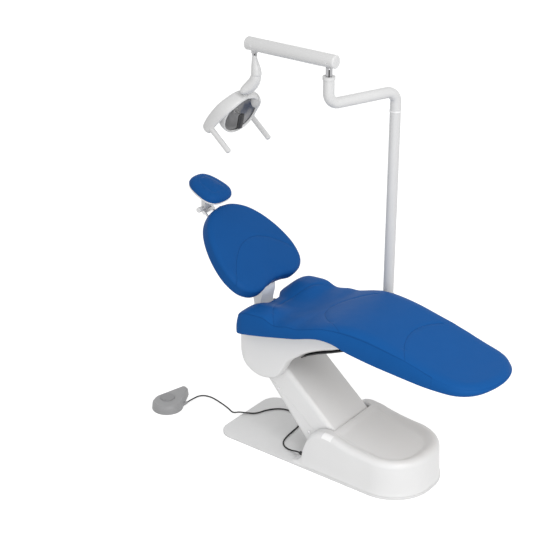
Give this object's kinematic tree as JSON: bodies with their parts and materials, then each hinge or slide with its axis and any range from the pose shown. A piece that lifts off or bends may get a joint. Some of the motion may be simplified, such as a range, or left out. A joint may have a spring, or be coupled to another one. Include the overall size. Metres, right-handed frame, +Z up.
{
  "type": "dental chair",
  "caption": "Dental patient chair on a parallel-arm lift, with a tilting back, sliding headrest, swinging operating light and a floor foot control.",
  "frame": {"origin": "centre of the base plate's underside, on the floor", "axes": "X across the chair with the light post on +X, -Y the foot end, +Y the head end, +Z up"},
  "size_m": [0.637, 1.858, 1.9525],
  "materials": {
    "white_shell": "moulded, satin",
    "upholstery": "soft vinyl, satin",
    "white_paint": "powder coat, satin",
    "plate_paint": "powder coat, satin",
    "frame_paint": "powder coat, matt",
    "bracket_grey": "powder coat, satin",
    "bright_steel": "turned",
    "chrome": "polished",
    "black_plastic": "fine texture",
    "pedal_grey": "fine texture",
    "reflector_metal": "dimpled",
    "bulb_glass": "clear",
    "cord_rubber": "matt",
    "bronze": "machined",
    "plywood": "bare",
    "motor_paint": "paint, satin"
  },
  "bodies": {
    "root": {"base_plate": "plate_paint", "base_cover": "white_shell", "blank_plate": "white_shell", "cord_gland": "black_plastic", "pivot_bracket": "frame_paint", "lower_pivot_shaft": "bright_steel", "lower_link_pin": "bright_steel", "lift_cylinder": "motor_paint", "pump_motor": "motor_paint", "oil_tank": "motor_paint", "foot_housing": "pedal_grey", "foot_base": "black_plastic", "control_cord": "cord_rubber"},
    "lift_arm": {"arm_front_cover": "white_shell", "arm_rear_cover": "white_shell", "arm_beam": "frame_paint", "arm_bushes": "bronze", "cover_screws": "bright_steel"},
    "parallel_link": {"parallel_link": "frame_paint"},
    "lift_ram": {"lift_ram": "bright_steel"},
    "carriage": {"upper_pivot_shaft": "bright_steel", "upper_link_pin": "bright_steel", "seat_frame": "frame_paint", "seat_board": "plywood", "seat_cushion": "upholstery", "seat_shroud": "white_shell", "shroud_floor": "black_plastic", "post_bracket": "frame_paint", "light_post": "white_paint", "post_ring": "bracket_grey", "recline_motor": "motor_paint", "back_hinge_pin": "bright_steel"},
    "backrest": {"back_bracket": "bracket_grey", "back_pan": "black_plastic", "back_cushion": "upholstery", "headrest_guide": "black_plastic"},
    "headrest_slide": {"headrest_rods": "bright_steel"},
    "headrest_link": {"headrest_link": "white_shell"},
    "headrest": {"headrest_shell": "white_shell", "headrest_cushion": "upholstery"},
    "headrest_knob": {"headrest_knob": "white_shell"},
    "light_arm": {"light_arm": "white_paint", "riser_collar": "white_paint"},
    "arm_knuckle": {"arm_knuckle": "chrome"},
    "spring_arm": {"spring_arm": "white_paint", "arm_pins": "bright_steel", "spring_rod": "bright_steel", "balance_spring": "bright_steel"},
    "end_knuckle": {"end_knuckle": "chrome"},
    "lamp_neck": {"lamp_neck": "white_shell"},
    "lamp_head": {"lamp_housing": "white_shell", "lamp_bowl": "white_shell", "reflector": "reflector_metal", "bulb": "bulb_glass", "bulb_shield": "black_plastic", "lamp_screw": "black_plastic", "handle_left": "white_shell", "handle_right": "white_shell", "housing_caps": "bracket_grey"},
    "foot_button": {"foot_button": "pedal_grey"}
  },
  "joints": [
    {"name": "lift", "type": "hinge", "parent": "root", "child": "lift_arm", "pos_m": [0, -0.055, 0.13], "axis": [1, 0, 0], "range_deg": [-43, 4]},
    {"name": "link_swing", "type": "hinge", "parent": "root", "child": "parallel_link", "pos_m": [0, -0.055, 0.19], "axis": [1, 0, 0], "range_deg": [-43, 4]},
    {"name": "ram_stroke", "type": "slide", "parent": "root", "child": "lift_ram", "axis": [0, 1, 0], "range_m": [-0.0445, 0.005]},
    {"name": "seat_level", "type": "hinge", "parent": "lift_arm", "child": "carriage", "pos_m": [0, 0.30398, 0.43337], "axis": [1, 0, 0], "range_deg": [-4, 43]},
    {"name": "back_tilt", "type": "hinge", "parent": "carriage", "child": "backrest", "pos_m": [0, 0.42, 0.632], "axis": [1, 0, 0], "range_deg": [-35, 18]},
    {"name": "headrest_reach", "type": "slide", "parent": "backrest", "child": "headrest_slide", "axis": [0, 0.766, 0.6428], "range_m": [0, 0.12]},
    {"name": "headrest_lower", "type": "hinge", "parent": "headrest_slide", "child": "headrest_link", "pos_m": [0, 0.77733, 1.06677], "axis": [1, 0, 0], "range_deg": [-40, 0]},
    {"name": "headrest_tilt", "type": "hinge", "parent": "headrest_link", "child": "headrest", "pos_m": [0, 0.77663, 1.14054], "axis": [1, 0, 0], "range_deg": [-35, 0]},
    {"name": "headrest_lock", "type": "hinge", "parent": "headrest_slide", "child": "headrest_knob", "pos_m": [-0.048, 0.77733, 1.06677], "axis": [1, 0, 0], "range_deg": [0, 90]},
    {"name": "light_swing", "type": "hinge", "parent": "carriage", "child": "light_arm", "pos_m": [0.34, -0.056, 1.632], "axis": [0, 0, 1], "range_deg": [-120, 120]},
    {"name": "spring_arm_swing", "type": "hinge", "parent": "light_arm", "child": "arm_knuckle", "pos_m": [0, 0.072, 1.845], "axis": [0, 0, 1], "range_deg": [-75, 150]},
    {"name": "spring_arm_tilt", "type": "hinge", "parent": "arm_knuckle", "child": "spring_arm", "pos_m": [0, 0.072, 1.922], "axis": [1, 0, 0], "range_deg": [-25, 28]},
    {"name": "end_level", "type": "hinge", "parent": "spring_arm", "child": "end_knuckle", "pos_m": [0, 0.478, 1.922], "axis": [1, 0, 0], "range_deg": [-28, 25]},
    {"name": "lamp_swivel", "type": "hinge", "parent": "end_knuckle", "child": "lamp_neck", "pos_m": [0, 0.478, 1.86], "axis": [0, 0, 1], "range_deg": [-120, 120]},
    {"name": "lamp_tilt", "type": "hinge", "parent": "lamp_neck", "child": "lamp_head", "pos_m": [0, 0.468, 1.79], "axis": [0.9903, -0.1392, 0], "range_deg": [-40, 60]},
    {"name": "foot_press", "type": "slide", "parent": "root", "child": "foot_button", "axis": [0, 0, -1], "range_m": [0, 0.005], "stiffness_N_per_m": 800, "springref_m": -0.002}
  ],
  "couplings": [
    {"joint": "link_swing", "follows": "lift", "ratio": 1},
    {"joint": "ram_stroke", "follows": "lift", "m_per_rad": 0.05833},
    {"joint": "seat_level", "follows": "lift", "ratio": -1},
    {"joint": "end_level", "follows": "spring_arm_tilt", "ratio": -1}
  ]
}
